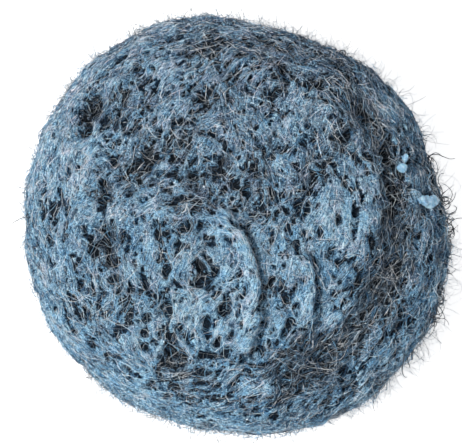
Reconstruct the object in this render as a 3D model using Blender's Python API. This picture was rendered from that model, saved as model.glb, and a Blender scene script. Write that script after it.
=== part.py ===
"""A round steel wool soap pad, lying flat.

One wad of steel wool, wound and folded into a cushion and soaked with soap, is the body. Three lumps
of soap are caught in the wool near its right edge. Metres, +Z up. The origin is in the middle of the
flat that the pad lies on.
"""

import math
import random
from dataclasses import dataclass

import bmesh
import bpy
from mathutils import Matrix, Vector, noise

MM = 0.001

# The cushion: a round plan, a domed crown, and a squarer belly that is pressed flat where it lies.
PLAN_RADIUS = 31.4 * MM
CROWN_HEIGHT = 14.5 * MM
BELLY_DEPTH = 9.5 * MM
PRESSED_DEPTH = 1.0 * MM
# The upright section is a superellipse: an exponent of 2 is an ellipse, and a higher one is squarer.
CROWN_SQUARENESS = 2.35
BELLY_SQUARENESS = 3.0
GRID_CELLS = 31
GRID_LEAN = 0.35  # how far the grid is drawn to the top, where the relief is finest

# The plan is a little out of round. A lobe is (how many round the rim, height, direction in degrees).
RIM_LOBES = (
    (1, 0.57 * MM, 203.0),
    (2, 0.81 * MM, 140.0),
    (3, 0.13 * MM, 112.0),
    (4, 0.32 * MM, 38.0),
    (5, 0.19 * MM, 46.0),
    (6, 0.22 * MM, 46.0),
    (7, 0.14 * MM, 42.0),
)

# The wool's own relief: soft swells, wound strands, tufts, and the pits between them.
SWELL_SPACING = 9.0 * MM
SWELL_HEIGHT = 0.4 * MM
STRAND_SPACING = 4.0 * MM
STRAND_LENGTH = 15.0 * MM
STRAND_HEIGHT = 0.7 * MM
STRAND_DRIFT = 4.5 * MM
TUFT_SPACING = 2.7 * MM
TUFT_HEIGHT = 0.3 * MM
PIT_COUNT = 220
PIT_SPACING = 4.2 * MM
PIT_RADIUS = 1.2 * MM
PIT_DEPTH = 0.7 * MM
PIT_SCALES = (0.8, 1.25)
SEED = 11

# The photograph looks down on the top at this angle above the level. Its larger holes are given by the
# place that they show at, right and up from the middle in shares of the plan radius, and by their size
# in shares of the hole radius.
VIEW_ELEVATION = math.radians(79.0)
HOLE_RADIUS = 0.8 * MM
HOLE_DEPTH = 1.1 * MM
HOLES = (
    (-0.35, -0.40, 1.2),
    (-0.19, -0.28, 1.1),
    (-0.06, -0.40, 1.0),
    (-0.46, -0.28, 1.0),
    (-0.33, -0.61, 1.1),
    (-0.72, 0.44, 0.9),
    (-0.69, 0.56, 1.0),
    (-0.29, -0.12, 0.9),
    (-0.35, -0.23, 0.9),
    (-0.18, 0.59, 1.0),
    (0.11, -0.39, 1.1),
    (-0.34, -0.68, 0.9),
    (-0.15, -0.84, 0.9),
    (-0.15, -0.65, 0.9),
    (0.28, -0.12, 0.9),
    (0.38, -0.39, 0.9),
    (0.58, 0.50, 0.9),
    (0.24, -0.36, 0.9),
    (0.37, 0.66, 0.9),
    (0.70, 0.32, 0.9),
)

# Folds of the top. The outer wrap leaves a band along the right of the rim and steps down to it. A lip
# is a raised ridge, and a crease is a furrow.
WRAP_BAND = 4.4 * MM
WRAP_DEPTH = 2.3 * MM
WRAP_WIDTH = 1.9 * MM
WRAP_STEP = 1.5 * MM
LIP_HEIGHT = 1.1 * MM
LIP_WIDTH = 1.4 * MM
CREASE_DEPTH = 1.4 * MM
CREASE_WIDTH = 1.2 * MM
FOLD_END_FADE = 9.0  # degrees
FOLD_FADE_HEIGHT = 5.0 * MM  # folds fade out over this height above the widest level

LUMP_LENGTH = 4.5 * MM  # of the large one
LUMP_THICKNESS = 1.6 * MM
LUMP_SUNK = 0.8 * MM
LUMP_UNEVENNESS = 0.16
LUMP_BUMPS = 5.0  # bumps of its surface to the lump's length, about
SEAT_CLEARANCE = 0.3 * MM


@dataclass
class Fold:
    """A crease or a lip on the top that follows an arc in plan, from start to end in degrees.

    Its centre and radius are shares of the plan radius. A lip has a negative depth. The wool outside a
    fold with a step down lies lower than inside it.
    """

    centre: tuple
    radius: float
    start: float
    end: float
    depth: float
    width: float
    step_down: float = 0.0


@dataclass
class Lump:
    """A lump of soap: where it lies on the top, its size, and which way its length points in plan.

    It lies at a share of the way to the rim, and its sizes are shares of the large lump's length.
    """

    name: str
    direction: float
    way_out: float
    length: float
    width: float
    turn: float


WRAP_SHARE = 1.0 - WRAP_BAND / PLAN_RADIUS
FOLDS = {
    "outer": Fold((-0.13, 0.0), WRAP_SHARE, -64, 36, WRAP_DEPTH, WRAP_WIDTH, WRAP_STEP),
    "middle_lip": Fold((-0.38, -0.42), 0.455, -36, 72, -LIP_HEIGHT, LIP_WIDTH),
    "middle_crease": Fold((-0.38, -0.42), 0.51, -36, 46, CREASE_DEPTH, CREASE_WIDTH),
    "small_lip": Fold((0.02, -0.42), 0.32, -24, 36, -LIP_HEIGHT, LIP_WIDTH),
    "small_crease": Fold((0.02, -0.42), 0.37, -24, 36, CREASE_DEPTH, CREASE_WIDTH),
    "left_crease": Fold((-0.25, 0.01), 0.40, 140, 222, CREASE_DEPTH, CREASE_WIDTH),
    "corner_crease": Fold((-0.38, 0.29), 0.36, 138, 176, CREASE_DEPTH, CREASE_WIDTH),
}
LUMPS = (
    Lump("soap_lump_large", 4.4, 0.93, 1.0, 0.49, 15.0),
    Lump("soap_lump_middle", 15.2, 0.835, 0.44, 0.38, 40.0),
    Lump("soap_lump_small", 18.8, 0.88, 0.45, 0.26, 85.0),
)


def clear_scene():
    for obj in list(bpy.data.objects):
        bpy.data.objects.remove(obj)


def smooth_step(value):
    value = min(1.0, max(0.0, value))
    return value * value * (3.0 - 2.0 * value)


def plan_radius(angle):
    """Distance from the middle to the rim, in that direction in plan."""
    lobes = (height * math.cos(count * (angle - math.radians(peak))) for count, height, peak in RIM_LOBES)
    return PLAN_RADIUS + sum(lobes)


def widest_level():
    """Height of the widest part above the flat that the pad lies on."""
    return BELLY_DEPTH - PRESSED_DEPTH


def cushion_point(direction):
    """The smooth cushion's surface in a direction from its middle, before any relief."""
    angle = math.atan2(direction.y, direction.x)
    flat = math.hypot(direction.x, direction.y)
    rise = abs(direction.z)
    is_crown = direction.z > 0.0
    squareness = CROWN_SQUARENESS if is_crown else BELLY_SQUARENESS
    reach = (flat**squareness + rise**squareness) ** (-1.0 / squareness)
    across = plan_radius(angle) * flat * reach
    height = CROWN_HEIGHT * rise * reach if is_crown else -BELLY_DEPTH * rise * reach
    return Vector((across * math.cos(angle), across * math.sin(angle), widest_level() + height))


def crown_point(x, y):
    """The smooth cushion's top over a place in plan, or its rim beyond that."""
    angle = math.atan2(y, x)
    share = min(1.0, max(1e-6, math.hypot(x, y) / plan_radius(angle)))
    steepness = (share**-CROWN_SQUARENESS - 1.0) ** (1.0 / CROWN_SQUARENESS)
    return cushion_point(Vector((math.cos(angle), math.sin(angle), steepness)).normalized())


def place_seen_at(across, up):
    """The place on the crown that the photograph shows so far right of the middle and above it."""
    y = up
    for _ in range(20):
        rise = crown_point(across, y).z - widest_level()
        y = (y + (up - rise * math.cos(VIEW_ELEVATION)) / math.sin(VIEW_ELEVATION)) / 2.0
    return crown_point(across, y)


def fold_relief(fold, point):
    """How far a fold raises a point of the top."""
    offset_x = point.x / PLAN_RADIUS - fold.centre[0]
    offset_y = point.y / PLAN_RADIUS - fold.centre[1]
    middle = (fold.start + fold.end) / 2.0
    half_sweep = (fold.end - fold.start) / 2.0
    from_middle = abs((math.degrees(math.atan2(offset_y, offset_x)) - middle + 180.0) % 360.0 - 180.0)
    along = smooth_step((half_sweep + FOLD_END_FADE - from_middle) / FOLD_END_FADE)
    across = (math.hypot(offset_x, offset_y) - fold.radius) * PLAN_RADIUS / fold.width
    step = fold.step_down * smooth_step(across / 2.0)
    return -along * (fold.depth * math.exp(-across * across) + step)


def top_relief(point):
    """The folds lie on the top only, and fade out as it turns down to the rim."""
    fade = smooth_step((point.z - widest_level()) / FOLD_FADE_HEIGHT)
    return fade * sum(fold_relief(fold, point) for fold in FOLDS.values())


def wool_relief(point):
    """Soft swells, the crests of strands that run round the pad as it was wound, and small tufts."""
    drift = noise.noise_vector(point / SWELL_SPACING) * STRAND_DRIFT
    down_from_top = math.hypot(point.x, point.y) - (point.z - widest_level())
    across = (down_from_top + drift.x) / STRAND_SPACING
    along_x = (point.x + drift.y) / STRAND_LENGTH
    along_y = (point.y + drift.z) / STRAND_LENGTH
    crest = 0.5 - abs(noise.noise(Vector((across, along_x, along_y))))
    swell = noise.noise(point / SWELL_SPACING)
    tuft = noise.noise(point / TUFT_SPACING)
    return swell * SWELL_HEIGHT + crest * STRAND_HEIGHT + tuft * TUFT_HEIGHT


def hole_centres():
    """The larger holes of the top, each a place with its radius and depth."""
    centres = []
    for across, up, scale in HOLES:
        place = place_seen_at(across * PLAN_RADIUS, up * PLAN_RADIUS)
        centres.append((place, scale * HOLE_RADIUS, scale * HOLE_DEPTH))
    return centres


def pit_centres(places, taken):
    """Shallow pits: a fixed draw of the places, clear of each other and of what is already there."""
    draw = random.Random(SEED)
    centres = []
    for place in draw.sample(places, len(places)):
        if len(centres) == PIT_COUNT:
            break
        others = [pit[0] for pit in centres] + taken
        if all((place - other).length > PIT_SPACING for other in others):
            scale = draw.uniform(*PIT_SCALES)
            centres.append((place, scale * PIT_RADIUS, scale * PIT_DEPTH))
    return centres


def pit_relief(point, pits):
    """How far the pits and holes raise a point, which is never upwards."""
    lowered = 0.0
    for centre, radius, depth in pits:
        distance = (point - centre).length / radius
        lowered = max(lowered, depth * smooth_step(1.5 - distance))
    return -lowered


def press_flat(mesh):
    """Whatever lies under the level that the pad lies on is pressed up to it, and becomes one flat face."""
    for vert in mesh.verts:
        vert.co.z = max(vert.co.z, 0.0)
    flat = [face for face in mesh.faces if all(vert.co.z == 0.0 for vert in face.verts)]
    bmesh.ops.dissolve_faces(mesh, faces=flat)


def cushion_mesh(lump_seats):
    """A cube's even grid drawn out to the cushion, moved by the wool's relief, then pressed flat below."""
    mesh = bmesh.new()
    bmesh.ops.create_cube(mesh, size=2.0)
    bmesh.ops.subdivide_edges(mesh, edges=mesh.edges[:], cuts=GRID_CELLS - 1, use_grid_fill=True)
    for vert in mesh.verts:
        even = Vector(math.tan(side * math.pi / 4.0) for side in vert.co)
        leaning = even.normalized() + Vector((0.0, 0.0, GRID_LEAN))
        vert.co = cushion_point(leaning.normalized())
    mesh.normal_update()
    holes = hole_centres()
    taken = [hole[0] for hole in holes] + lump_seats
    pits = holes + pit_centres([vert.co.copy() for vert in mesh.verts], taken)
    for vert in mesh.verts:
        rise = wool_relief(vert.co) + pit_relief(vert.co, pits) + top_relief(vert.co)
        vert.co = vert.co + vert.normal * rise
    press_flat(mesh)
    bmesh.ops.triangulate(mesh, faces=mesh.faces[:])
    return mesh


def lump_mesh(lump, clearance=0.0):
    """An uneven pebble of soap, centred on its own middle, and larger all round by a clearance."""
    mesh = bmesh.new()
    bmesh.ops.create_icosphere(mesh, subdivisions=2, radius=0.5)
    size = Vector((lump.length * LUMP_LENGTH, lump.width * LUMP_LENGTH, LUMP_THICKNESS))
    room = Vector((2.0, 2.0, 2.0)) * clearance
    for vert in mesh.verts:
        bump = noise.noise(vert.co * LUMP_BUMPS + Vector((lump.direction, lump.turn, 0.0)))
        vert.co = vert.co * (size * (1.0 + LUMP_UNEVENNESS * bump) + room)
    return mesh


def lump_frame(lump):
    """Where a lump lies: on the wool, tipped to the slope there, with its length turned as it points."""
    angle = math.radians(lump.direction)
    from_middle = plan_radius(angle) * lump.way_out
    x = from_middle * math.cos(angle)
    y = from_middle * math.sin(angle)
    step = 0.5 * MM
    slope_x = crown_point(x + step, y) - crown_point(x - step, y)
    slope_y = crown_point(x, y + step) - crown_point(x, y - step)
    outward = slope_x.cross(slope_y).normalized()
    turn = math.radians(lump.turn)
    side = outward.cross(Vector((math.cos(turn), math.sin(turn), 0.0))).normalized()
    along = side.cross(outward)
    surface = crown_point(x, y)
    rise = wool_relief(surface) + top_relief(surface) + LUMP_THICKNESS / 2.0 - LUMP_SUNK
    frame = Matrix((along, side, outward)).transposed().to_4x4()
    frame.translation = surface + outward * rise
    return frame


def new_object(name, mesh, frame=None):
    data = bpy.data.meshes.new(name)
    mesh.normal_update()
    mesh.to_mesh(data)
    mesh.free()
    data.shade_smooth()
    obj = bpy.data.objects.new(name, data)
    if frame is not None:
        obj.matrix_world = frame
    bpy.context.scene.collection.objects.link(obj)
    return obj


def finish(name, colour, roughness, metallic):
    material = bpy.data.materials.new(name)
    material.use_nodes = True
    shader = material.node_tree.nodes["Principled BSDF"]
    shader.inputs["Base Color"].default_value = (*colour, 1.0)
    shader.inputs["Roughness"].default_value = roughness
    shader.inputs["Metallic"].default_value = metallic
    return material


def cut_seat(pad, lump, frame):
    """Hollows the wool under a lump, so that the lump sits in it with a small clearance all round."""
    cutter = new_object(lump.name + "_seat", lump_mesh(lump, SEAT_CLEARANCE), frame)
    cutter.hide_render = True
    cutter.display_type = "WIRE"
    seat = pad.modifiers.new(cutter.name, "BOOLEAN")
    seat.operation = "DIFFERENCE"
    seat.solver = "EXACT"
    seat.object = cutter


def main():
    clear_scene()
    soaked_wool = finish("soaked_wool", (0.112, 0.171, 0.231), 0.85, 0.1)
    soap = finish("soap", (0.20, 0.43, 0.66), 0.5, 0.0)
    frames = [lump_frame(lump) for lump in LUMPS]
    pad = new_object("steel_wool_pad", cushion_mesh([frame.translation for frame in frames]))
    pad.data.materials.append(soaked_wool)
    for lump, frame in zip(LUMPS, frames):
        soap_lump = new_object(lump.name, lump_mesh(lump), frame)
        soap_lump.data.materials.append(soap)
        cut_seat(pad, lump, frame)


main()
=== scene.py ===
"""Dresses a steel wool soap pad: a felted mat of wool and soap, the fibres over it, and its soap lumps."""

import math
from dataclasses import dataclass

import bmesh
import bpy
import numpy as np
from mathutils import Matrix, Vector
from mathutils.bvhtree import BVHTree
from mathutils.kdtree import KDTree


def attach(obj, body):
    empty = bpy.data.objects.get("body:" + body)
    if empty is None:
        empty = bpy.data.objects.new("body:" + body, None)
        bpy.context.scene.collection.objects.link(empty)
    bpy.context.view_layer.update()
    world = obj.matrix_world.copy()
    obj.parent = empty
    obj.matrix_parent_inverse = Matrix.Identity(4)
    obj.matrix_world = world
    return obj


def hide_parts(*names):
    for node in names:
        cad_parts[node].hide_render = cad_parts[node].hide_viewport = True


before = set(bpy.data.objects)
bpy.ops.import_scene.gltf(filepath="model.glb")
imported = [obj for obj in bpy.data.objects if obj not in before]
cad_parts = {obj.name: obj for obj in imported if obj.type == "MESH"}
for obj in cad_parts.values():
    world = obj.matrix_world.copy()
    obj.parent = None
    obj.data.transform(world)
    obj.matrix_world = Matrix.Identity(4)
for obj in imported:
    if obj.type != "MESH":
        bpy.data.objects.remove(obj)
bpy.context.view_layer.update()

MM = 0.001

# The camera looks almost straight down through a long lens. Picture places are millimetres right and
# up from the pad's middle, at the height of its widest part.
WIDEST_LEVEL = 8.5
VIEW_ELEVATION = math.radians(79.0)
LENS = 150.0
SENSOR = 36.0
PICTURE_WIDTH = 68.6
PICTURE_MIDDLE = (-1.26, 0.12)
VIEW_UP = np.array((0.0, math.sin(VIEW_ELEVATION), math.cos(VIEW_ELEVATION)))
VIEW_BACK = np.array((0.0, -math.cos(VIEW_ELEVATION), math.sin(VIEW_ELEVATION)))
VIEW_RIGHT = np.array((1.0, 0.0, 0.0))
VIEW_DISTANCE = PICTURE_WIDTH * LENS / SENSOR

MAIN_WAY = math.radians(70.0)  # the way in plan that most of the top's wool runs
RIM_START = 25.0  # from here out the wool turns to run round the pad
RIM_WIDTH = 6.0
TOP_LEVEL = 7.0  # the felt of the top reaches down to here
LOWEST = 0.02  # nothing reaches lower
LOWEST_END = 0.15  # and the middle of a loose end no lower than this
FIBRE_DIP = 0.06  # how far a lying fibre's ends dip into the wool

GUIDE_VOXEL = 0.6
LUMP_VOXEL = 0.09
MAT_CELLS = 128  # along each edge of the cube that the mat's grid starts from
MAT_LEAN = 0.5  # how far the grid is drawn towards the top, which gets the finer cells
MAT_REACH = (31.4, 31.4, 12.0)  # about half of the pad's own size
MAT_BASE = -0.2  # the mat's height on the CAD cushion, before its webs and holes
USUAL_SOAP = 0.53
SMALL_PITS = 6000
PIT_STRETCH = 1.8  # a hole is this much longer along the wool's way than across it
HOLE_SHARE = 0.92  # the radius that a hole of the table is dug with, as a share of its own

# The crease where the outer wrap ends is an arc in plan, with less soap. Angles are in degrees.
WRAP_MIDDLE = (-4.1, 0.0)
WRAP_RADIUS = 26.6
WRAP_WIDTH = 2.2
WRAP_HEADING = -14.0
WRAP_SPREAD = 60.0
WRAP_SOAP = -0.44

# Patches of the top: picture place, radius, and how much soap they have above or below the usual.
PATCHES = (
    (23.4, 1.1, 2.6, -0.65), (22.4, -6.5, 2.4, -0.60), (21.8, 9.1, 2.4, -0.5), (19.8, 16.6, 1.8, -0.4),
    (-18.8, -2.5, 2.4, -0.5), (-19.7, 4.6, 1.8, -0.45), (-21.5, 16.4, 1.5, -0.35), (-10.0, -21.0, 1.6, -0.4),
    (13.0, -22.1, 2.4, -0.45), (14.3, 20.8, 2.6, -0.35), (11.2, -17.3, 2.2, -0.4), (17.6, -16.6, 1.8, -0.4),
    (-6.2, 26.6, 2.4, -0.22), (6.9, -25.2, 2.0, -0.35), (-4.8, -7.8, 2.0, -0.35), (0.5, 0.8, 2.0, -0.35),
    (-6.6, 3.2, 2.6, -0.35), (14.0, 12.1, 2.6, -0.3), (16.0, 24.1, 2.8, -0.35), (2.5, 28.6, 3.0, -0.2),
    (13.8, -19.4, 2.2, -0.35), (-5.0, 6.5, 4.2, -0.18), (27.2, -3.5, 1.6, 0.35), (26.6, -9.5, 1.8, 0.4),
    (13.0, 1.8, 2.6, 0.4), (16.7, -2.9, 2.2, 0.35), (1.4, -13.9, 2.4, 0.4), (-0.7, -30.6, 4.0, 0.45),
    (-16.0, -26.7, 3.6, 0.4), (-26.8, -16.2, 3.4, 0.4), (8.0, 14.9, 2.6, 0.35), (-8.1, -12.9, 2.4, 0.3),
    (-24.5, 10.2, 2.8, 0.45), (-11.8, 23.1, 2.6, 0.3), (-21.8, 23.6, 2.8, 0.35), (-30.4, 7.8, 3.0, 0.4),
    (-25.5, 19.2, 2.4, 0.3), (-13.9, 2.6, 2.0, 0.35), (14.9, -13.9, 2.2, 0.35), (22.2, -26.1, 2.6, 0.4),
    (18.9, -26.1, 2.2, 0.35), (22.9, 17.7, 2.2, 0.4), (17.7, 11.2, 1.8, 0.3), (-29.0, 13.0, 3.0, 0.35),
    (-17.4, 14.6, 2.4, -0.25), (-15.6, 8.4, 2.2, -0.25), (-6.5, 12.5, 3.6, -0.16), (4.6, 24.0, 3.0, -0.14),
    (9.2, 4.8, 2.8, -0.25), (16.5, -0.5, 3.4, 0.25), (-5.0, -9.0, 6.0, 0.22), (6.0, -3.0, 9.0, 0.2),
)
# The larger holes of the top: picture place and radius.
HOLES = (
    (-10.9, -12.7, 0.95), (-5.9, -8.7, 0.85), (-2.0, -12.6, 0.8), (-14.3, -8.9, 0.8), (-10.5, -19.3, 0.85),
    (-22.6, 13.7, 0.7), (-21.8, 17.6, 0.8), (-9.0, -3.8, 0.75), (-10.9, -7.2, 0.7), (-12.0, -2.0, 0.6),
    (-5.6, 18.6, 0.8), (3.3, -12.1, 0.9), (-10.6, -21.2, 0.7), (-4.8, -26.5, 0.7), (-4.7, -20.3, 0.75),
    (-5.9, -6.3, 0.6), (-8.1, -26.4, 0.6), (8.8, -3.8, 0.7), (-18.5, 9.0, 0.6), (-28.3, -6.0, 0.5),
    (12.0, -12.3, 0.75), (18.2, 15.8, 0.7), (5.6, 19.1, 0.6), (7.4, -11.4, 0.7), (15.1, 0.5, 0.65),
    (-22.8, -13.5, 0.6), (10.2, 2.1, 0.6), (-9.0, -9.3, 0.5), (11.7, 20.7, 0.7), (0.5, -20.6, 0.6),
    (6.5, 23.5, 0.6), (17.4, 1.5, 0.6), (-14.2, -18.8, 0.65), (-3.3, -17.8, 0.55), (-0.8, -0.3, 0.6),
    (7.5, -15.3, 0.6), (21.9, 10.0, 0.7), (19.5, -5.3, 0.6), (-20.1, 3.6, 0.6), (13.7, -4.3, 0.6),
    (-7.4, -0.7, 0.5), (-3.6, -7.3, 0.6), (-13.8, -14.2, 0.65), (-16.5, -13.9, 0.7), (-18.0, -15.6, 0.45),
    (-11.3, -15.9, 0.45), (-5.2, -15.2, 0.75), (-3.2, -10.6, 0.55), (0.4, -10.9, 0.6), (-14.3, -16.7, 0.6),
    (-1.2, -16.8, 0.5), (-8.5, -23.2, 0.75), (-9.6, -24.8, 0.6), (-3.1, -24.4, 0.6), (-5.6, -21.9, 0.55),
    (-23.6, -9.2, 0.6), (-19.0, -8.8, 0.5), (-17.1, -11.8, 0.5), (-22.3, -18.2, 0.45), (-13.4, -24.8, 0.5),
    (-15.8, -5.9, 0.45), (-4.0, -2.8, 0.6),
)
# Spots of thick soap on the top: picture place and radius.
SPOTS = (
    (29.3, -10.9, 0.7), (22.2, -24.6, 0.7), (18.6, -26.2, 0.7), (30.5, -8.0, 0.6), (14.0, -14.7, 0.6),
    (-3.2, -15.7, 0.6), (6.5, -18.1, 0.5), (-7.4, -6.2, 0.5), (-11.2, 8.7, 0.5), (2.0, -13.3, 0.55),
    (5.6, 8.8, 0.5), (5.7, -15.3, 0.5), (19.5, 0.8, 0.55), (-12.3, -19.1, 0.5), (-26.7, -7.1, 0.5),
    (21.6, 16.8, 0.6), (-8.7, -18.5, 0.5), (4.2, -24.5, 0.5), (-10.0, 28.7, 0.5), (-16.9, -7.1, 0.5),
    (24.6, -19.6, 0.5), (13.1, 2.1, 0.6), (1.1, -6.8, 0.5), (-2.5, -0.1, 0.5), (-21.6, 1.2, 0.5),
)


@dataclass
class Seam:
    """A line in the picture along which the wool is raised and soapy, or torn open and bare."""

    line: tuple
    width: float
    soap: float
    rise: float


SEAMS = (
    Seam(((-12.1, 1.4), (-8.8, 1.2), (-5.9, 0.7), (-3.2, 0.7), (-1.4, -0.3), (0.1, -2.3)), 0.45, 0.35, 0.35),
    Seam(
        (
            (-2.0, 1.4), (-0.4, -1.1), (1.3, -4.5), (2.1, -7.4),
            (2.5, -10.1), (2.4, -12.7), (2.0, -15.1), (0.9, -18.7),
        ),
        0.8, 0.7, 0.55,
    ),
    Seam(((1.0, -1.9), (2.6, -5.0), (3.4, -8.7), (3.6, -12.0), (3.3, -14.5)), 0.34, -0.9, -0.9),
    Seam(((9.7, -5.3), (10.7, -7.4), (10.9, -10.3), (10.1, -13.3), (9.3, -15.0)), 0.6, 0.5, 0.4),
    Seam(((11.4, -6.1), (11.9, -10.3), (11.4, -12.9)), 0.34, -0.7, -0.7),
    Seam(((-8.3, -4.6), (-7.0, -5.6), (-6.6, -7.2), (-6.7, -9.0)), 0.5, 0.5, 0.3),
    Seam(((-6.4, -5.4), (-5.8, -6.6), (-5.8, -8.2)), 0.3, -0.6, -0.4),
    Seam(((-20.4, 6.2), (-20.3, 1.5), (-19.9, -2.5), (-18.9, -6.0)), 0.32, -0.7, -0.7),
    Seam(((-22.0, 16.0), (-22.4, 13.6), (-20.8, 11.8), (-18.8, 9.6)), 0.3, -0.5, -0.4),
    Seam(((-19.2, 6.6), (-18.0, 2.0), (-17.8, -2.0)), 0.6, 0.25, 0.3),
    Seam(((25.3, 6.4), (25.8, 5.0), (26.8, 3.6)), 0.55, 0.9, 0.25),
    Seam(((23.0, 12.6), (23.8, 10.4), (24.6, 8.6)), 0.5, 0.5, 0.15),
)


@dataclass
class Swirl:
    """Wool that runs along an arc in plan. It reaches some way to either side of the arc."""

    middle: tuple
    radius: float
    reach: float
    pull: float


SWIRLS = (
    Swirl((-11.9, -13.2), 14.5, 1.8, 2.4),
    Swirl((0.6, -13.2), 10.5, 1.6, 1.6),
    Swirl((-4.1, 0.0), 26.4, 3.6, 1.6),
    Swirl((-7.9, 0.3), 12.9, 1.8, 0.8),
    Swirl((-6.5, -9.5), 2.6, 1.4, 1.6),
    Swirl((-11.9, 9.1), 11.3, 1.8, 0.8),
)


@dataclass
class Fibres:
    """One piece made of many fibres, which lie on the wool or stand out from its rim.

    Lengths are in millimetres. The spread is how much their ways differ, and the curl is how sharply
    they bend.
    """

    name: str
    count: int
    segments: int
    length: tuple
    radius: tuple
    lift: tuple
    spread: float
    curl: float
    seed: int
    is_smooth: bool = True


def smooth_step(value):
    value = np.clip(value, 0.0, 1.0)
    return value * value * (3.0 - 2.0 * value)


def unit(vectors):
    return vectors / np.maximum(np.linalg.norm(vectors, axis=-1, keepdims=True), 1e-9)


def cell_values(x, y, z, seed):
    """A fixed scattered value between -1 and 1 for each whole-number place."""
    value = (x * 73856093) ^ (y * 19349663) ^ (z * 83492791) ^ (seed * 40503)
    value = ((value ^ (value >> 13)) & 0xFFFFFFFF) * 1274126177 & 0xFFFFFFFF
    value = ((value ^ (value >> 16)) * 2246822519) & 0xFFFFFFFF
    value = value ^ (value >> 15)
    return value / 2147483647.5 - 1.0


def noise(points, size, seed):
    """Smooth noise between -1 and 1, whose bumps are about as large as size."""
    places = points / size + 1000.0
    base = np.floor(places).astype(np.int64)
    x, y, z = smooth_step(places - base).T
    total = 0.0
    for corner in range(8):
        dx, dy, dz = corner & 1, corner >> 1 & 1, corner >> 2
        weight = (x if dx else 1 - x) * (y if dy else 1 - y) * (z if dz else 1 - z)
        total = total + weight * cell_values(base[:, 0] + dx, base[:, 1] + dy, base[:, 2] + dz, seed)
    return total


def noise_vectors(points, size, seed):
    return np.stack([noise(points, size, seed + axis) for axis in range(3)], axis=1)


def ridges(points, size, seed, drift=0.5):
    """Winding ridge lines: 1 along them, falling to 0 between them."""
    moved = points + noise_vectors(points, size * 1.7, seed + 50) * size * drift
    return 1.0 - np.abs(noise(moved, size, seed)) ** 0.7


def streaks(points, ways, size, reach, seed):
    """Noise drawn out along the ways, from about -1 to 1, so that it runs in short streaks."""
    offsets = np.linspace(-reach, reach, 9)
    return sum(noise(points + ways * offset, size, seed) for offset in offsets) / len(offsets) * 2.4


def points_of(mesh):
    points = np.empty(len(mesh.vertices) * 3, np.float32)
    mesh.vertices.foreach_get("co", points)
    return points.reshape(-1, 3).astype(np.float64) / MM


def normals_of(mesh):
    normals = np.empty(len(mesh.vertices) * 3, np.float32)
    mesh.vertex_normals.foreach_get("vector", normals)
    return normals.reshape(-1, 3).astype(np.float64)


def set_points(mesh, points):
    mesh.vertices.foreach_set("co", (points * MM).astype(np.float32).ravel())
    mesh.update()


def add_values(mesh, name, values):
    layer = mesh.attributes.new(name, "FLOAT", "POINT")
    layer.data.foreach_set("value", np.clip(values, 0.0, 1.0).astype(np.float32))


def mesh_from(name, points, triangles, is_smooth):
    mesh = bpy.data.meshes.new(name)
    mesh.vertices.add(len(points))
    mesh.loops.add(len(triangles) * 3)
    mesh.polygons.add(len(triangles))
    mesh.vertices.foreach_set("co", (points * MM).astype(np.float32).ravel())
    mesh.loops.foreach_set("vertex_index", triangles.astype(np.int32).ravel())
    mesh.polygons.foreach_set("loop_start", np.arange(0, len(triangles) * 3, 3, dtype=np.int32))
    mesh.update(calc_edges=True)
    if is_smooth:
        mesh.shade_smooth()
    else:
        mesh.shade_flat()
    return mesh


def even_copy(node, name, voxel, smoothing):
    """A new mesh with the shape of a CAD node and an even grid of small faces."""
    copy = bpy.data.objects.new(name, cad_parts[node].data.copy())
    bpy.context.scene.collection.objects.link(copy)
    remesh = copy.modifiers.new("even", "REMESH")
    remesh.mode = "VOXEL"
    remesh.voxel_size = voxel * MM
    soften = copy.modifiers.new("soften", "SMOOTH")
    soften.factor = 0.5
    soften.iterations = smoothing
    bpy.context.view_layer.update()
    mesh = bpy.data.meshes.new_from_object(copy.evaluated_get(bpy.context.evaluated_depsgraph_get()))
    bpy.data.objects.remove(copy)
    mesh.name = name
    mesh.shade_smooth()
    return mesh


def place(name, mesh, material, slot, *nodes):
    piece = bpy.data.objects.new(name, mesh)
    bpy.context.scene.collection.objects.link(piece)
    mesh.materials.clear()
    mesh.materials.append(material)
    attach(piece, "root")
    if nodes:
        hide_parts(*nodes)
    return piece


class Wool:
    """A surface of the wool, to place features on and lay fibres on."""

    def __init__(self, mesh):
        self.points = points_of(mesh)
        self.normals = normals_of(mesh)
        mesh.calc_loop_triangles()
        corners = np.empty(len(mesh.loop_triangles) * 3, np.int32)
        mesh.loop_triangles.foreach_get("vertices", corners)
        self.triangles = corners.reshape(-1, 3)
        self.tree = BVHTree.FromPolygons(self.points.tolist(), self.triangles.tolist())
        a, b, c = (self.points[self.triangles[:, corner]] for corner in range(3))
        self.areas = np.linalg.norm(np.cross(b - a, c - a), axis=1) / 2.0
        self.middles = (a + b + c) / 3.0
        self.facing = unit(self.normals[self.triangles].sum(axis=1))

    def nearest(self, points):
        """The nearest places on the wool, the smooth normals there, and the corners of their faces."""
        found = [self.tree.find_nearest(point) for point in points.tolist()]
        places = np.array([hit[0] for hit in found])
        corners = self.triangles[[hit[2] for hit in found]]
        away = np.linalg.norm(self.points[corners] - places[:, None], axis=2) + 0.05
        return places, unit((self.normals[corners] / away[:, :, None]).sum(axis=1)), corners

    def seen_at(self, across, up):
        """The place on the wool that the camera sees at a place in the picture."""
        target = VIEW_RIGHT * across + VIEW_UP * up + (0.0, 0.0, WIDEST_LEVEL)
        start = camera_place()
        ray = unit(target - start)
        hit = self.tree.ray_cast(Vector(start), Vector(ray))[0]
        if hit is None:
            hit = self.tree.find_nearest(Vector(target))[0]
        return np.array(hit)

    def scatter(self, count, weights, draw):
        """Scattered places on the wool, with normals and face corners. Most lie where weights are high."""
        shares = self.areas * weights
        faces = draw.choice(len(shares), count, p=shares / shares.sum())
        mix = draw.dirichlet((1.0, 1.0, 1.0), count)[:, :, None]
        corners = self.triangles[faces]
        normals = unit((self.normals[corners] * mix).sum(axis=1))
        return (self.points[corners] * mix).sum(axis=1), normals, corners


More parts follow.
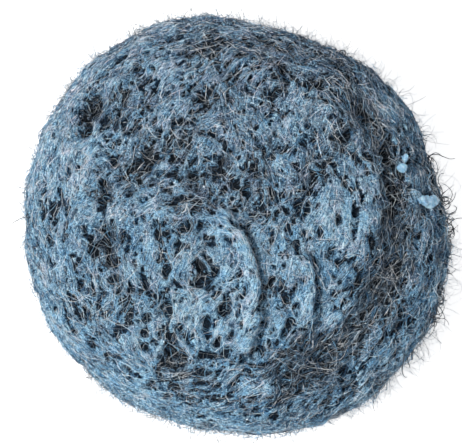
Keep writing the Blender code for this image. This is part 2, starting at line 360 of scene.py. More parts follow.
def camera_place():
    target = VIEW_RIGHT * PICTURE_MIDDLE[0] + VIEW_UP * PICTURE_MIDDLE[1] + (0.0, 0.0, WIDEST_LEVEL)
    return target + VIEW_BACK * VIEW_DISTANCE


wool = Wool(even_copy("steel_wool_pad", "guide", voxel=GUIDE_VOXEL, smoothing=3))
patch_places = np.array([wool.seen_at(patch[0], patch[1]) for patch in PATCHES])
hole_places = np.array([wool.seen_at(hole[0], hole[1]) for hole in HOLES])
spot_places = np.array([wool.seen_at(spot[0], spot[1]) for spot in SPOTS])
seam_lines = [np.array([wool.seen_at(*place_of) for place_of in seam.line]) for seam in SEAMS]


def strengths_along(points, line, width):
    """1 on a line through space, and falling off to either side of it."""
    nearest = np.full(len(points), np.inf)
    for start, end in zip(line[:-1], line[1:]):
        step = end - start
        share = np.clip((points - start) @ step / (step @ step), 0.0, 1.0)
        nearest = np.minimum(nearest, np.linalg.norm(points - start - share[:, None] * step, axis=1))
    return np.exp(-((nearest / width) ** 2))


def soap_share(points):
    """How much soap the wool holds, from 0 to 1: by patches and seams, less in the wrap's crease."""
    share = USUAL_SOAP + 0.16 * noise(points, 5.0, 3) + 0.20 * noise(points, 2.1, 4)
    share = share - 0.0035 * points[:, 0] - 0.006 * np.maximum(points[:, 1] - 4.0, 0.0)
    for place_of, (_, _, radius, amount) in zip(patch_places, PATCHES):
        away = ((points - place_of) ** 2).sum(axis=1) / radius**2
        share = share + amount * np.exp(-away * 0.7)
    for place_of, (_, _, radius) in zip(spot_places, SPOTS):
        away = ((points - place_of) ** 2).sum(axis=1) / (1.6 * radius) ** 2
        share = share + 0.6 * np.exp(-away)
    right, up = points[:, 0] - WRAP_MIDDLE[0], points[:, 1] - WRAP_MIDDLE[1]
    aside = np.abs(np.degrees(np.arctan2(up, right)) - WRAP_HEADING)
    along = smooth_step((WRAP_SPREAD - aside) / 14.0) * smooth_step((points[:, 2] - 10.0) / 3.0)
    off = (np.hypot(right, up) - WRAP_RADIUS) / WRAP_WIDTH
    share = share + WRAP_SOAP * along * np.exp(-(off**2))
    for line, seam in zip(seam_lines, SEAMS):
        share = share + seam.soap * strengths_along(points, line, seam.width)
    return np.clip(share, 0.0, 1.0)


def grain(points, normals):
    """Which way the wool runs: steeply across the top, along the swirls, and round the pad at its rim."""
    place_of = points[:, 0] + 1j * points[:, 1]
    on_top = smooth_step((normals[:, 2] + 0.2) / 0.6)
    rim = smooth_step((np.abs(place_of) - RIM_START) / RIM_WIDTH)
    # A fibre has no front and no back, so ways are mixed as doubled angles.
    total = on_top * (1.0 - 0.8 * rim) * np.exp(2j * MAIN_WAY)
    total = total + (0.25 + 1.4 * rim) * turning_about(place_of)
    for swirl in SWIRLS:
        off = place_of - complex(*swirl.middle)
        away = (np.abs(off) - swirl.radius) / swirl.reach
        total = total + swirl.pull * np.exp(-away * away) * on_top * turning_about(off)
    heading = np.angle(total) / 2.0 + 0.6 * noise(points, 5.0, 21)
    way = np.stack([np.cos(heading), np.sin(heading), np.zeros_like(heading)], axis=1)
    way = way - normals * (way * normals).sum(axis=1, keepdims=True)
    return unit(way)


def turning_about(off):
    """The doubled angle of a way that runs round a middle, at places off that middle."""
    return (1j * off / np.maximum(np.abs(off), 1e-6)) ** 2


def turned(ways, normals, angles):
    """Ways turned about the normals by angles in radians."""
    cosine, sine = np.cos(angles)[:, None], np.sin(angles)[:, None]
    return ways * cosine + np.cross(normals, ways) * sine


def pits_for(draw):
    """Places and radii of the holes: the large ones of the top, and many small ones all over."""
    places, _, _ = wool.scatter(SMALL_PITS, 0.35 + seen_from_above, draw)
    keep = draw.random(len(places)) < 1.1 - soap_share(places)
    places = places[keep]
    radii = 0.12 + 0.26 * draw.random(len(places)) ** 2.0
    sizes = np.array([hole[2] * HOLE_SHARE for hole in HOLES])
    return np.concatenate([hole_places, places]), np.concatenate([sizes, radii])


def dig_pits(points, ways, places, radii):
    """How deep each point lies in a hole, as a share of the hole's depth, and how far it is lowered."""
    share = np.zeros(len(points))
    lowered = np.zeros(len(points))
    tree = KDTree(len(points))
    for index, point in enumerate(points.tolist()):
        tree.insert(point, index)
    tree.balance()
    warp = noise_vectors(points, 0.7, 33) * 0.26
    for place_of, radius in zip(places, radii):
        near = [hit[1] for hit in tree.find_range(place_of.tolist(), radius * 2.2)]
        if not near:
            continue
        off = points[near] + warp[near] - place_of
        along = (off * ways[near]).sum(axis=1)
        side = np.sqrt(np.maximum((off**2).sum(axis=1) - along**2, 0.0))
        wobble = 1.0 + 0.45 * noise(points[near], 0.55, 31)
        away = np.hypot(along / PIT_STRETCH, side) / radius * wobble
        inside = smooth_step((1.35 - away) * 1.6)
        share[near] = np.maximum(share[near], inside)
        lowered[near] = np.maximum(lowered[near], inside * (0.35 + 1.0 * radius))
    return share, lowered


def mat_grid():
    """An even grid all round the wool, closed, and finer on the top than below."""
    grid = bmesh.new()
    bmesh.ops.create_cube(grid, size=2.0)
    bmesh.ops.subdivide_edges(grid, edges=grid.edges[:], cuts=MAT_CELLS - 1, use_grid_fill=True)
    bmesh.ops.triangulate(grid, faces=grid.faces[:])
    mesh = bpy.data.meshes.new("wool_mat")
    grid.to_mesh(mesh)
    grid.free()
    ways = unit(np.tan(points_of(mesh) * MM * math.pi / 4.0))
    ways = unit(ways + (0.0, 0.0, MAT_LEAN)) * MAT_REACH
    middle = Vector((0.0, 0.0, WIDEST_LEVEL))
    hits = [wool.tree.ray_cast(middle, Vector(way))[0] for way in unit(ways).tolist()]
    set_points(mesh, np.array(hits))
    mesh.shade_smooth()
    return mesh


def make_mat():
    """The mat itself: webs of soaked wool with holes and torn gaps between them."""
    mesh = mat_grid()
    points = points_of(mesh)
    normals = normals_of(mesh)
    ways = grain(points, normals)
    soap = soap_share(points)
    places, radii = pits_for(np.random.default_rng(5))
    hollow, lowered = dig_pits(points, ways, places, radii)
    web = ridges(points, 2.3, 11, 0.8)
    small_web = ridges(points, 0.95, 12, 0.8)
    streak = streaks(points, ways, 0.4, 1.2, 71)
    opening = streaks(points, ways, 0.60, 0.6, 81) + 0.55 * noise(points, 0.42, 82)
    opening = opening + 1.1 * np.clip(0.5 - soap, -0.5, 0.15)
    upper = smooth_step((points[:, 1] - 2.0) / 8.0)
    gap = smooth_step((opening - 0.25 - 0.2 * upper) / 0.34)
    hollow = np.maximum(hollow, 0.9 * gap)
    lowered = np.maximum(lowered, 0.75 * gap)
    rise = MAT_BASE + 0.20 * (web - 0.6) + 0.24 * (small_web - 0.6) + 0.12 * streak
    rise = rise + 0.08 * noise(points, 0.4, 13)
    rise = rise + 0.35 * (soap - 0.55) - lowered
    for line, seam in zip(seam_lines, SEAMS):
        strength = strengths_along(points, line, seam.width)
        rise = rise + seam.rise * strength
        # Torn seams count as hollow, so the mat's colour also gets the painted shade of the holes along them.
        if seam.soap < 0.0:
            hollow = np.maximum(hollow, smooth_step(strength * 1.5 - 0.35))
    points = points + normals * rise[:, None]
    points[:, 2] = np.maximum(points[:, 2], LOWEST)
    set_points(mesh, points)
    # The hollow value also sets where the mat's colour is darkened with painted shade.
    values = {"soap": soap, "hollow": hollow, "web": 0.45 * web + 0.45 * small_web + 0.2 * streak}
    for name, value in values.items():
        add_values(mesh, name, value)
    layer = mesh.attributes.new("way", "FLOAT_VECTOR", "POINT")
    layer.data.foreach_set("vector", ways.astype(np.float32).ravel())
    return mesh, values


def tubes(paths, normals, radii, sides=3):
    """Closed thin prisms along paths. Each path has as many points as the others."""
    count, rings, _ = paths.shape
    tangents = unit(np.gradient(paths, axis=1))
    across = unit(np.cross(tangents, normals))
    upward = np.cross(across, tangents)
    spokes = np.arange(sides) * 2.0 * math.pi / sides
    ring = across[:, :, None] * np.cos(spokes)[:, None]
    ring = ring + upward[:, :, None] * np.sin(spokes)[:, None]
    points = paths[:, :, None] + ring * radii[:, :, None, None]
    corner = np.arange(count * rings * sides).reshape(count, rings, sides)
    after = np.roll(corner, -1, axis=2)
    lower, lower_after = corner[:, :-1], after[:, :-1]
    upper, upper_after = corner[:, 1:], after[:, 1:]
    first = np.stack([lower, upper, lower_after], axis=-1).reshape(-1, 3)
    second = np.stack([lower_after, upper, upper_after], axis=-1).reshape(-1, 3)
    start_cap = corner[:, 0]
    end_cap = corner[:, -1, ::-1]
    return points.reshape(-1, 3), np.concatenate([first, second, start_cap, end_cap])


def fibre_piece(fibres, ground, weights, tint_of):
    """Lays fibres on the ground from scattered places. Each follows the grain with its own turn and curl."""
    draw = np.random.default_rng(fibres.seed)
    here, normals, corners = ground.scatter(fibres.count, weights, draw)
    ways = turned(grain(here, normals), normals, draw.normal(0.0, fibres.spread, fibres.count))
    ways = ways * draw.choice((-1.0, 1.0), fibres.count)[:, None]
    lengths = draw.uniform(*fibres.length, fibres.count)
    steps = lengths / fibres.segments
    bend = draw.normal(0.0, fibres.curl, fibres.count)
    paths, ups, under = [here], [normals], [corners]
    for _ in range(fibres.segments):
        bend = bend + draw.normal(0.0, fibres.curl * 0.6, fibres.count)
        ways = turned(ways, normals, bend * steps)
        here, normals, corners = ground.nearest(here + ways * steps[:, None])
        ways = unit(ways - normals * (ways * normals).sum(axis=1, keepdims=True))
        paths.append(here)
        ups.append(normals)
        under.append(corners)
    paths, ups, under = (np.stack(lists, axis=1) for lists in (paths, ups, under))
    along = np.linspace(0.0, 1.0, fibres.segments + 1)
    lift = draw.uniform(0.0, 1.0, fibres.count) ** 1.6
    lift = (fibres.lift[0] + (fibres.lift[1] - fibres.lift[0]) * lift)[:, None]
    arch = np.sin(along * math.pi) ** 0.6
    wave = draw.normal(0.0, fibres.lift[1] * 0.15, (fibres.count, fibres.segments + 1))
    height = (lift + FIBRE_DIP) * arch - FIBRE_DIP + wave
    paths = paths + ups * height[:, :, None]
    thin = 0.35 + 0.65 * np.sin(np.clip(along, 0.02, 0.98) * math.pi) ** 0.4
    radii = draw.uniform(*fibres.radius, fibres.count)[:, None] * thin
    points, triangles = tubes(paths, ups, radii)
    points[:, 2] = np.maximum(points[:, 2], LOWEST)
    mesh = mesh_from(fibres.name, points, triangles, fibres.is_smooth)
    tint = tint_of(under.reshape(-1, 3), draw.normal(0.0, 1.0, fibres.count).repeat(fibres.segments + 1))
    add_values(mesh, "tint", np.repeat(tint, 3))
    return mesh


def loose_ends(ends, crowd, clump, tints):
    """Fibres that stand out from the rim and curl, so many to a clump.

    The crowd is their share all round, then the parts of the rim with more: direction and width in
    degrees, and share. The tints are a mean and a spread.
    """
    draw = np.random.default_rng(ends.seed)
    angle = np.degrees(np.arctan2(wool.middles[:, 1], wool.middles[:, 0]))
    share = np.full(len(angle), crowd[0])
    for direction, width, amount in crowd[1:]:
        away = (angle - direction + 180.0) % 360.0 - 180.0
        share = share + amount * np.exp(-((away / width) ** 2))
    out = 1.0 - np.abs(wool.facing[:, 2])
    level = 1.0 - np.abs(wool.middles[:, 2] - WIDEST_LEVEL) / 6.0
    weights = share * smooth_step((out - 0.35) / 0.5) * smooth_step(level)
    count = ends.count
    roots, _, _ = wool.scatter(count // clump, weights, draw)
    group = np.arange(count) % len(roots)
    here, normals, _ = wool.nearest(roots[group] + draw.normal(0.0, 0.35, (count, 3)))
    side = unit(np.cross(normals, (0.0, 0.0, 1.0)))
    lean = draw.normal(0.0, 0.8, len(roots))[group] + draw.normal(0.0, ends.spread, count)
    rise = draw.uniform(0.3, 1.2, len(roots))[group] + draw.uniform(-0.15, 0.15, count)
    ways = normals * np.maximum(rise, 0.1)[:, None] + side * lean[:, None]
    ways = unit(ways + draw.normal(0.0, 0.2, (count, 3)))
    lengths = ends.length[0] + (ends.length[1] - ends.length[0]) * draw.random(count) ** 1.8
    steps = (lengths / ends.segments)[:, None]
    axis = unit(draw.normal(0.0, 0.7, (len(roots), 3)) + (0.0, 0.0, 1.2))[group]
    turn = draw.choice((-1.0, 1.0), len(roots)) * draw.uniform(0.3, 1.6, len(roots)) * ends.curl
    turn = turn[group] + draw.normal(0.0, ends.curl * 0.3, count)
    here = here - normals * 0.3
    paths = [here]
    for _ in range(ends.segments):
        turn = turn + draw.normal(0.0, ends.curl * 0.2, count)
        ways = unit(turned(ways, axis, turn))
        here = here + ways * steps
        paths.append(here)
    paths = np.stack(paths, axis=1)
    paths[:, :, 2] = np.maximum(paths[:, :, 2], LOWEST_END)
    ups = np.repeat(axis[:, None], ends.segments + 1, axis=1)
    thin = 1.0 - 0.45 * np.linspace(0.0, 1.0, ends.segments + 1) ** 1.5
    radii = draw.uniform(*ends.radius, count)[:, None] * thin
    points, triangles = tubes(paths, ups, radii)
    points[:, 2] = np.maximum(points[:, 2], LOWEST)
    mesh = mesh_from(ends.name, points, triangles, ends.is_smooth)
    tint = np.clip(draw.normal(*tints, count), 0.0, 1.0)
    add_values(mesh, "tint", np.repeat(tint, (ends.segments + 1) * 3))
    return mesh


def make_flecks(name, count, seed):
    """Flecks of dried soap, a tenth to half a millimetre long, stuck to the wool."""
    draw = np.random.default_rng(seed)
    weights = felt_open * (0.15 + felt_soap**2) * (0.3 + 0.7 * felt_above)
    here, normals, corners = felt.scatter(count, weights, draw)
    ball = bmesh.new()
    bmesh.ops.create_icosphere(ball, subdivisions=1, radius=1.0)
    shape = np.array([vert.co[:] for vert in ball.verts])
    faces = np.array([[vert.index for vert in face.verts] for face in ball.faces])
    ball.free()
    ways = turned(grain(here, normals), normals, draw.normal(0.0, 0.5, count))
    turns = np.stack([ways, np.cross(normals, ways), normals], axis=1)
    sizes = draw.uniform(0.05, 0.13, count)[:, None] * np.stack(
        [draw.uniform(1.0, 2.2, count), np.ones(count), draw.uniform(0.5, 0.9, count)], axis=1
    )
    uneven = shape[None] * (1.0 + draw.uniform(-0.3, 0.3, (count, len(shape), 1)))
    points = (uneven * sizes[:, None]) @ turns + here[:, None] + normals[:, None] * 0.05
    points[:, :, 2] = np.maximum(points[:, :, 2], LOWEST)
    triangles = faces[None] + (np.arange(count) * len(shape))[:, None, None]
    mesh = mesh_from(name, points.reshape(-1, 3), triangles.reshape(-1, 3), True)
    tint = 0.62 + 0.3 * (mat_values["soap"][corners].mean(axis=1) - 0.5) + draw.normal(0.0, 0.16, count)
    add_values(mesh, "tint", np.repeat(tint, len(shape)))
    return mesh


def make_lump(node, stretch):
    """A lump of soap in the CAD lump's place, stretched a little, with a finer, pitted surface."""
    mesh = even_copy(node, node + "_shape", voxel=LUMP_VOXEL, smoothing=3)
    points = points_of(mesh)
    normals = normals_of(mesh)
    middle = points.mean(axis=0)
    points = middle + (points - middle) * stretch
    rise = 0.34 * noise(points, 1.1, 61) + 0.16 * noise(points, 0.45, 62)
    rise = rise - 0.16 * ridges(points, 0.7, 63) + 0.08
    set_points(mesh, points + normals * rise[:, None])
    return mesh


def node_in(tree, kind, settings=None, **sockets):
    """A new node. A socket is named with underscores for blanks, or by i and its number."""
    made = tree.nodes.new(kind)
    for key, value in (settings or {}).items():
        setattr(made, key, value)
    for key, value in sockets.items():
        socket = made.inputs[int(key[1:]) if key[1:].isdigit() else key.replace("_", " ")]
        if isinstance(value, bpy.types.NodeSocket):
            tree.links.new(value, socket)
        else:
            socket.default_value = value
    return made


def attribute_in(tree, name, output="Fac"):
    return node_in(tree, "ShaderNodeAttribute", {"attribute_name": name}).outputs[output]


def ramp_in(tree, value, stops):
    made = node_in(tree, "ShaderNodeValToRGB", Fac=value)
    elements = made.color_ramp.elements
    while len(elements) < len(stops):
        elements.new(0.5)
    for element, (position, colour) in zip(elements, stops):
        element.position = position
        element.color = (*colour, 1.0)
    return made.outputs["Color"]


def math_in(tree, operation, first, second=0.0, is_clamped=False):
    settings = {"operation": operation, "use_clamp": is_clamped}
    return node_in(tree, "ShaderNodeMath", settings, i0=first, i1=second).outputs[0]


def stretched_in(tree, value, start, gain, is_clamped=False):
    """How far a value lies above the start, times the gain."""
    above = math_in(tree, "SUBTRACT", value, start)
    return math_in(tree, "MULTIPLY", above, gain, is_clamped)


def varied_in(tree, value, *terms):
    """A value with the swings of others about 0.5 added to it, each times its weight."""
    for term, weight in terms:
        value = math_in(tree, "ADD", value, stretched_in(tree, term, 0.5, weight))
    return value


def mixed_in(tree, share, first, second, blend="MIX"):
    settings = {"data_type": "RGBA", "blend_type": blend}
    return node_in(tree, "ShaderNodeMix", settings, i0=share, i6=first, i7=second).outputs[2]


def add_bump(tree, shader, height, strength, depth):
    bump = node_in(tree, "ShaderNodeBump", Strength=strength, Distance=depth * MM, Height=height)
    tree.links.new(bump.outputs["Normal"], shader.inputs["Normal"])


def new_material(name, roughness, metallic=0.0, specular=0.5):
    material = bpy.data.materials.new(name)
    material.use_nodes = True
    shader = material.node_tree.nodes["Principled BSDF"]
    shader.inputs["Roughness"].default_value = roughness
    shader.inputs["Metallic"].default_value = metallic
    shader.inputs["Specular IOR Level"].default_value = specular
    return material, material.node_tree, shader


def millimetres_in(tree):
    coordinates = node_in(tree, "ShaderNodeTexCoord").outputs["Object"]
    scaled = node_in(tree, "ShaderNodeVectorMath", {"operation": "SCALE"}, Vector=coordinates, Scale=1.0 / MM)
    return scaled.outputs["Vector"]


def noise_in(tree, vector, scale, detail=2.0, rough=0.5, distortion=0.0):
    made = node_in(
        tree, "ShaderNodeTexNoise",
        Vector=vector, Scale=scale, Detail=detail, Roughness=rough, Distortion=distortion,
    )
    return made.outputs["Fac"]


def drawn_noise_in(tree, place_of, way, scale, reach, samples, contrast):
    """Noise drawn out along the wool's own way, so that it reads as fine fibres. It is about 0.5."""
    total = 0.0
    for index in range(samples):
        offset = reach * (2.0 * index / (samples - 1) - 1.0)
        settings = {"operation": "MULTIPLY_ADD"}
        shifted = node_in(tree, "ShaderNodeVectorMath", settings, i0=way, i1=(offset,) * 3, i2=place_of)
        total = math_in(tree, "ADD", noise_in(tree, shifted.outputs["Vector"], scale, 1.0), total)
    even = stretched_in(tree, math_in(tree, "DIVIDE", total, samples), 0.5, contrast)
    return math_in(tree, "ADD", even, 0.5, True)


HUE_STOPS = ((0.36, (0.98, 0.92, 0.97)), (0.5, (0.86, 0.96, 1.0)), (0.64, (0.68, 0.92, 1.06)))
HUE_DRIFT = -0.0018  # how much the hue moves along its stops for each millimetre up the picture


def shifted_hue_in(tree, place_of, colour):
    """The soap's colour shifted from place to place: violet, slate or cyan, and bluer on the near side."""
    upward = node_in(tree, "ShaderNodeSeparateXYZ", Vector=place_of).outputs["Y"]
    drift = math_in(tree, "MULTIPLY", upward, HUE_DRIFT)
    clouds = math_in(tree, "ADD", noise_in(tree, place_of, 0.55, 4.0, 0.7), drift)
    return mixed_in(tree, 1.0, colour, ramp_in(tree, clouds, HUE_STOPS), "MULTIPLY")


SOAKED_STOPS = (
    (0.0, (0.006, 0.010, 0.018)),
    (0.2, (0.032, 0.080, 0.155)),
    (0.45, (0.145, 0.292, 0.460)),
    (0.7, (0.350, 0.568, 0.738)),
    (1.0, (0.780, 0.930, 0.970)),
)
BARE_WOOL_STOPS = (
    (0.0, (0.005, 0.007, 0.011)),
    (0.25, (0.040, 0.064, 0.104)),
    (0.55, (0.178, 0.248, 0.318)),
    (1.0, (0.520, 0.600, 0.670)),
)
# Painted shade: the near-black colour that the mat's holes and torn gaps are mixed towards.
PAINTED_HOLE_SHADE = (0.005, 0.006, 0.007, 1.0)
SHEEN_COLOUR = (0.75, 0.88, 1.0, 1.0)


def mat_material():
    """The mat's finish: a blue film over grey wool, drawn into fine fibres, with painted shade in its holes,
    torn gaps and pinholes, and a painted highlight along the holes' lips.
    """
    material, tree, shader = new_material("soaked_wool_mat", roughness=0.7, specular=0.05)
    place_of = millimetres_in(tree)
    soap, hollow, web = (attribute_in(tree, name) for name in ("soap", "hollow", "web"))
    way = attribute_in(tree, "way", "Vector")
    fibres = drawn_noise_in(tree, place_of, way, scale=7.5, reach=0.7, samples=7, contrast=10.0)
    bundles = drawn_noise_in(tree, place_of, way, scale=2.6, reach=1.0, samples=5, contrast=5.5)
    pins = drawn_noise_in(tree, place_of, way, scale=3.4, reach=0.25, samples=3, contrast=4.2)
    blotch = noise_in(tree, place_of, scale=1.3, detail=3.0, rough=0.6, distortion=0.4)
    edge = noise_in(tree, place_of, scale=2.6, detail=2.0, rough=0.6, distortion=0.3)
    flakes = noise_in(tree, place_of, scale=2.0, detail=3.0, rough=0.6, distortion=0.8)
    flakes = stretched_in(tree, flakes, 0.42, 6.0, True)

    torn = varied_in(tree, hollow, (edge, 0.9), (bundles, -0.45), (soap, -0.35))
    torn = stretched_in(tree, torn, 0.36, 3.0, True)
    threads = math_in(tree, "MULTIPLY", math_in(tree, "SUBTRACT", fibres, 0.75, True), 0.8)
    # Painted shade: where the wool is torn open into holes and gaps, the colour is darkened towards near
    # black, less where fine threads show across them.
    hole_shade = math_in(tree, "MULTIPLY", torn, math_in(tree, "SUBTRACT", 0.92, threads, True))
    # Painted shade: small dark spots drawn along the wool's way stand in for pinholes in the soap film.
    pinhole_shade = math_in(tree, "MULTIPLY", stretched_in(tree, pins, 0.78, 6.0, True), 0.72)
    # What is kept of the colour's level outside the painted shade of the holes and pinholes.
    kept = math_in(tree, "SUBTRACT", 1.0, hole_shade)
    kept = math_in(tree, "MULTIPLY", kept, math_in(tree, "SUBTRACT", 1.0, pinhole_shade))

    # Painted highlight: the colour is lighter in a thin band along the lips of the holes.
    off_lip_highlight = math_in(tree, "ABSOLUTE", stretched_in(tree, hollow, 0.2, 6.0))
    lip_highlight = math_in(tree, "MULTIPLY", math_in(tree, "SUBTRACT", 1.0, off_lip_highlight, True), 0.16)
    level = math_in(tree, "ADD", math_in(tree, "MULTIPLY", soap, 0.46), 0.24)
    level = varied_in(tree, level, (web, 0.26), (fibres, 0.8), (bundles, 0.34), (blotch, 0.3), (flakes, 0.2))
    level = math_in(tree, "MULTIPLY", math_in(tree, "ADD", level, lip_highlight), kept, True)

    wetness = varied_in(tree, soap, (blotch, 0.5), (bundles, 0.35))
    wetness = stretched_in(tree, wetness, 0.24, 3.6, True)
    bare = ramp_in(tree, level, BARE_WOOL_STOPS)
    soaked = ramp_in(tree, level, SOAKED_STOPS)
    tinted = shifted_hue_in(tree, place_of, mixed_in(tree, wetness, bare, soaked))
    # Painted shade: the holes and gaps are mixed towards a near-black colour.
    colour = mixed_in(tree, math_in(tree, "MULTIPLY", hole_shade, 0.8), tinted, PAINTED_HOLE_SHADE)
    tree.links.new(colour, shader.inputs["Base Color"])
    shader.inputs["Sheen Weight"].default_value = 0.04
    shader.inputs["Sheen Roughness"].default_value = 0.5
    shader.inputs["Sheen Tint"].default_value = SHEEN_COLOUR
    height = math_in(tree, "ADD", fibres, math_in(tree, "MULTIPLY", torn, -0.6))
    add_bump(tree, shader, height, strength=0.9, depth=0.15)
    return material


def tinted_material(name, stops, roughness, metallic, specular, variation, has_hues=False):
    """A fibre's finish: its own tint picks the colour, and a little noise varies it along the fibre."""
    material, tree, shader = new_material(name, roughness, metallic, specular)
    place_of = millimetres_in(tree)
    tint = attribute_in(tree, "tint")
    shift = stretched_in(tree, noise_in(tree, place_of, scale=1.6), 0.5, variation)
    colour = ramp_in(tree, math_in(tree, "ADD", tint, shift, True), stops)
    if has_hues:
        colour = shifted_hue_in(tree, place_of, colour)
    tree.links.new(colour, shader.inputs["Base Color"])
    return material


SOAP_STOPS = ((0.3, (0.11, 0.27, 0.46)), (0.5, (0.26, 0.47, 0.65)), (0.7, (0.48, 0.68, 0.81)))


def soap_material():
    material, tree, shader = new_material("lump_soap", roughness=0.42)
    place_of = millimetres_in(tree)
    cloudy = noise_in(tree, place_of, scale=1.6, detail=3.0, rough=0.6, distortion=0.5)
    tree.links.new(ramp_in(tree, cloudy, SOAP_STOPS), shader.inputs["Base Color"])
    shader.inputs["Subsurface Weight"].default_value = 0.15
    shader.inputs["Subsurface Scale"].default_value = 0.4 * MM
    add_bump(tree, shader, noise_in(tree, place_of, scale=5.0, detail=3.0), strength=0.5, depth=0.1)
    return material


def soapy_tint(corners, chance):
    """A soapy fibre's tint at each point: lighter where there is more soap, and darker with painted shade
    where it lies down in a hole.
    """
    soap = mat_values["soap"][corners].mean(axis=1)
    hollow = mat_values["hollow"][corners].mean(axis=1)
    return 0.50 + 0.4 * (soap - 0.5) + 0.52 * chance - 0.35 * hollow


# A bare fibre's tint: spread wide, so that the rest are grey steel and the lightest come out near white as
# painted glints.
def bare_tint_with_glints(corners, chance):
    return 0.55 + 0.38 * chance


def hair_tint(corners, chance):
    return 0.74 + 0.2 * chance


def fuzz_tint(corners, chance):
    return 0.35 + 0.2 * mat_values["soap"][corners].mean(axis=1) + 0.28 * chance


seen_from_above = smooth_step((wool.facing[:, 2] + 0.15) / 0.3)
mat_mesh, mat_values = make_mat()
felt = Wool(mat_mesh)
mat = place("wool_mat", mat_mesh, mat_material(), "soaked_wool", "steel_wool_pad")

# How soapy, hollow and open the felt is, and whether it belongs to the top, below or the rim, face by
# face. Fibres are scattered by it.
felt_soap = mat_values["soap"][felt.triangles].mean(axis=1)
felt_hollow = mat_values["hollow"][felt.triangles].mean(axis=1)
felt_open = (1.0 - felt_hollow) ** 2
felt_above = smooth_step((felt.facing[:, 2] + 0.3) / 0.4) * (felt.middles[:, 2] > TOP_LEVEL)
felt_below = 1.0 - felt_above
felt_steep = smooth_step((1.0 - np.abs(felt.facing[:, 2]) - 0.3) / 0.5)
felt_rim = felt_steep * smooth_step((felt.middles[:, 2] - 3.0) / 3.0)

# Soap-coated strands from dark to light blue; the white top stop is partly pale soap and partly painted
# glint.
STRAND_STOPS = (
    (0.0, (0.010, 0.026, 0.05)),
    (0.3, (0.08, 0.19, 0.34)),
    (0.6, (0.33, 0.56, 0.75)),
    (1.0, (1.0, 1.0, 1.0)),
)
# Grey steel from dark to light; the near-white top stop is painted glint, which the lightest bare fibres and
# long hairs reach.
BARE_STEEL_AND_GLINT_STOPS = (
    (0.0, (0.01, 0.01, 0.013)),
    (0.35, (0.068, 0.088, 0.112)),
    (0.7, (0.35, 0.42, 0.49)),
    (1.0, (0.93, 0.97, 1.0)),
)
strand_finish = tinted_material(
    "soapy_strands", STRAND_STOPS, roughness=0.6, metallic=0.0, specular=0.12, variation=0.5, has_hues=True
)
bare_finish = tinted_material(
    "bare_steel_fibres", BARE_STEEL_AND_GLINT_STOPS, roughness=0.48, metallic=0.45, specular=0.4, variation=0.3
)

upper_weights = (0.02 + 0.98 * felt_open) * felt_above * (0.4 + felt_soap)
for number, seed in ((1, 101), (2, 102)):
    upper = Fibres(
        f"soapy_felt_top_{number}", count=6500, segments=3, length=(1.0, 4.0), radius=(0.018, 0.044),
        lift=(0.0, 0.16), spread=0.65, curl=0.2, seed=seed,
    )
    place(upper.name, fibre_piece(upper, felt, upper_weights, soapy_tint), strand_finish, "soaked_wool")

lower = Fibres(
    "soapy_felt_below", count=3600, segments=3, length=(1.6, 5.0), radius=(0.03, 0.07),
    lift=(0.0, 0.14), spread=0.5, curl=0.25, seed=103,
)
lower_weights = felt_open * felt_below * (0.25 + felt_soap)
place(lower.name, fibre_piece(lower, felt, lower_weights, soapy_tint), strand_finish, "soaked_wool")

bare = Fibres(
    "bare_fibres", count=7600, segments=4, length=(1.2, 5.6), radius=(0.013, 0.025),
    lift=(0.0, 0.35), spread=0.7, curl=0.18, seed=104, is_smooth=False,
)
bare_weights = (0.05 + 0.4 * felt_hollow + (1.05 - felt_soap) ** 2.2) * (0.25 + 0.75 * felt_above)
place(bare.name, fibre_piece(bare, felt, bare_weights, bare_tint_with_glints), bare_finish, "bare_steel_wool")

hairs = Fibres(
    "long_bare_fibres", count=420, segments=9, length=(4.0, 9.0), radius=(0.016, 0.028),
    lift=(0.05, 0.5), spread=0.7, curl=0.12, seed=110,
)
hair_weights = felt_above * (1.2 - felt_soap)
place(hairs.name, fibre_piece(hairs, felt, hair_weights, hair_tint), bare_finish, "bare_steel_wool")

DARK_CROWD = (0.01, (17.5, 3.0, 0.9), (-2.0, 7.0, 1.0), (-21.0, 5.0, 1.1), (-40.0, 12.0, 0.25))
dark_ends = Fibres(
    "dark_loose_ends", count=300, segments=11, length=(1.6, 5.0), radius=(0.055, 0.09),
    lift=(0.0, 0.0), spread=0.8, curl=0.6, seed=105,
)
dark_mesh = loose_ends(dark_ends, DARK_CROWD, clump=3, tints=(0.14, 0.12))
place(dark_ends.name, dark_mesh, bare_finish, "bare_steel_wool")

FINE_CROWD = (
    0.4,
    (-10.0, 25.0, 0.6), (-48.0, 18.0, 1.1), (75.0, 40.0, 0.9), (125.0, 25.0, 0.8), (250.0, 25.0, 0.8),
)
fine_ends = Fibres(
    "fine_loose_ends", count=3000, segments=5, length=(0.8, 4.8), radius=(0.02, 0.034),
    lift=(0.0, 0.0), spread=0.6, curl=0.3, seed=108,
)
fine_mesh = loose_ends(fine_ends, FINE_CROWD, clump=2, tints=(0.5, 0.2))
place(fine_ends.name, fine_mesh, bare_finish, "bare_steel_wool")

fuzz = Fibres(
    "rim_fuzz", count=2600, segments=4, length=(1.0, 4.5), radius=(0.022, 0.038),
    lift=(0.1, 1.1), spread=0.8, curl=0.3, seed=109,
)
place(fuzz.name, fibre_piece(fuzz, felt, felt_rim, fuzz_tint), strand_finish, "soaked_wool")

place("soap_flecks", make_flecks("soap_flecks", count=1200, seed=107), strand_finish, "soap")

LUMP_STRETCHES = {
    "soap_lump_large": (1.16, 0.86, 1.0),
    "soap_lump_middle": (0.94, 0.9, 1.0),
    "soap_lump_small": (0.9, 0.9, 1.0),
}
soap_finish = soap_material()
for lump, stretch in LUMP_STRETCHES.items():
    place(lump + "_surface", make_lump(lump, stretch), soap_finish, "soap", lump)


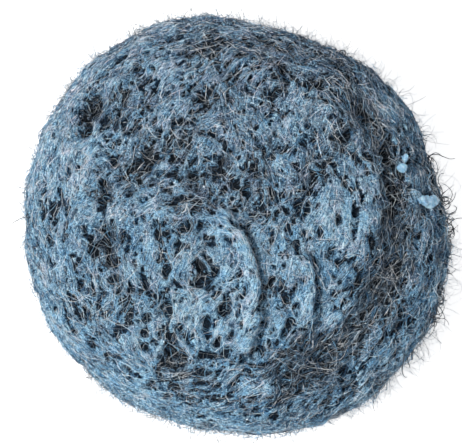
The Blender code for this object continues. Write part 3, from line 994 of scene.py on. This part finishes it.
WHITE = (1.0, 1.0, 1.0, 1.0)
SKY_COLOUR = (0.93, 0.96, 1.0, 1.0)
SKY_STRENGTH = 0.4
FLOOR_HALF = 600.0
FLOOR_LEVEL = -0.02
FLOOR_COLOUR = (0.7, 0.7, 0.7, 1.0)
FLOOR_GLOW = 0.8  # what the floor adds to its own colour where it is seen, to come out white


def white_where_seen(tree, shader_output, target):
    """Shows plain white to the camera and in reflections, and the given shader to all other light."""
    path = node_in(tree, "ShaderNodeLightPath")
    seen = math_in(tree, "MAXIMUM", path.outputs["Is Camera Ray"], path.outputs["Is Glossy Ray"])
    seen = math_in(tree, "MAXIMUM", seen, path.outputs["Is Transmission Ray"])
    white = node_in(tree, "ShaderNodeBackground", Color=WHITE, Strength=1.0)
    mix = node_in(tree, "ShaderNodeMixShader", Fac=seen, i1=shader_output, i2=white.outputs[0])
    tree.links.new(mix.outputs[0], target)


def add_world():
    world = bpy.data.worlds.new("studio")
    bpy.context.scene.world = world
    world.use_nodes = True
    tree = world.node_tree
    background = tree.nodes["Background"]
    background.inputs["Color"].default_value = SKY_COLOUR
    background.inputs["Strength"].default_value = SKY_STRENGTH
    white_where_seen(tree, background.outputs[0], tree.nodes["World Output"].inputs["Surface"])


def add_floor():
    half = FLOOR_HALF * MM
    mesh = bpy.data.meshes.new("floor")
    corners = ((-half, -half, 0.0), (half, -half, 0.0), (half, half, 0.0), (-half, half, 0.0))
    mesh.from_pydata(corners, [], [(0, 1, 2, 3)])
    floor = bpy.data.objects.new("floor", mesh)
    floor.location.z = FLOOR_LEVEL * MM
    bpy.context.scene.collection.objects.link(floor)
    material, tree, shader = new_material("floor", roughness=0.9, specular=0.1)
    shader.inputs["Base Color"].default_value = FLOOR_COLOUR
    path = node_in(tree, "ShaderNodeLightPath")
    seen = math_in(tree, "MAXIMUM", path.outputs["Is Camera Ray"], path.outputs["Is Glossy Ray"])
    glow_strength = math_in(tree, "MULTIPLY", seen, FLOOR_GLOW)
    glow = node_in(tree, "ShaderNodeEmission", Color=WHITE, Strength=glow_strength)
    both = node_in(tree, "ShaderNodeAddShader", i0=shader.outputs[0], i1=glow.outputs[0])
    tree.links.new(both.outputs[0], tree.nodes["Material Output"].inputs["Surface"])
    mesh.materials.append(material)


def add_sun(name, strength, angle, azimuth, elevation, colour):
    """A sun that shines from an azimuth and elevation. Its angle is how wide it looks, all in degrees."""
    light = bpy.data.lights.new(name, "SUN")
    light.energy = strength
    light.angle = math.radians(angle)
    light.color = colour
    lamp = bpy.data.objects.new(name, light)
    around, above = math.radians(azimuth), math.radians(elevation)
    flat = math.cos(above)
    toward = Vector((math.cos(around) * flat, math.sin(around) * flat, math.sin(above)))
    lamp.rotation_euler = toward.to_track_quat("Z", "Y").to_euler()
    bpy.context.scene.collection.objects.link(lamp)


def add_camera():
    data = bpy.data.cameras.new("camera")
    data.lens = LENS
    data.sensor_width = SENSOR
    data.clip_start = 0.01
    camera = bpy.data.objects.new("camera", data)
    camera.location = Vector(camera_place() * MM)
    camera.rotation_euler = Vector(VIEW_BACK).to_track_quat("Z", "Y").to_euler()
    bpy.context.scene.collection.objects.link(camera)
    bpy.context.scene.camera = camera


add_world()
add_floor()
add_sun("key", strength=3.2, angle=12.0, azimuth=200.0, elevation=57.0, colour=(1.0, 0.98, 0.95))
add_camera()
bpy.context.scene.view_settings.view_transform = "Standard"
